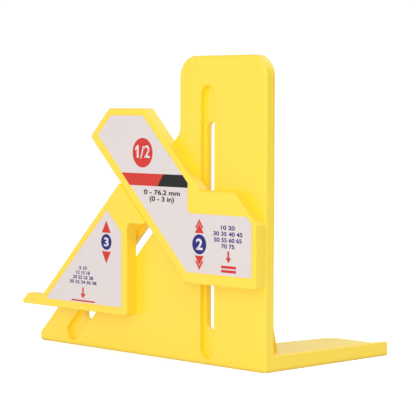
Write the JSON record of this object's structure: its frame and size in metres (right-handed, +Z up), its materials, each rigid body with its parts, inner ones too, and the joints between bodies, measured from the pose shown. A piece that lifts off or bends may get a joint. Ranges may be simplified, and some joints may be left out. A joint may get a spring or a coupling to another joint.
{
  "type": "table saw height gauge",
  "caption": "Upright gauge plate on a foot with a stock slider and a cutter slider linked at 45 degrees, so the cutter slider always stands at half the stock slider's height.",
  "frame": {"origin": "on the table face, below the upright slot's axis, at the middle of the plate's thickness", "axes": "+X to the right along the plate seen from the front, +Y to the back along the foot, +Z up"},
  "size_m": [0.1739, 0.0969, 0.15],
  "materials": {
    "yellow_plastic": "satin moulded",
    "printed_label": "printed film",
    "zinc_steel": "zinc plated",
    "spring_steel": "oiled"
  },
  "bodies": {
    "base": {"gauge_plate": "yellow_plastic"},
    "stock": {"stock_slider": "yellow_plastic", "stock_label": "printed_label", "stock_screw_lower": "zinc_steel", "stock_screw_upper": "zinc_steel", "stock_washer_lower": "zinc_steel", "stock_washer_upper": "zinc_steel", "stock_spring_lower": "spring_steel", "stock_spring_upper": "spring_steel"},
    "cutter": {"cutter_slider": "yellow_plastic", "cutter_label": "printed_label", "cutter_screw_lower": "zinc_steel", "cutter_screw_upper": "zinc_steel", "cutter_washer_lower": "zinc_steel", "cutter_washer_upper": "zinc_steel", "cutter_spring_lower": "spring_steel", "cutter_spring_upper": "spring_steel"}
  },
  "joints": [
    {"name": "stock_slide", "type": "slide", "parent": "base", "child": "stock", "axis": [0, 0, 1], "range_m": [-0.0397, 0.0365]},
    {"name": "cutter_slide", "type": "slide", "parent": "base", "child": "cutter", "axis": [0.7071, 0, 0.7071], "range_m": [-0.02807, 0.02581]}
  ],
  "couplings": [
    {"joint": "cutter_slide", "follows": "stock_slide", "ratio": 0.70711}
  ]
}
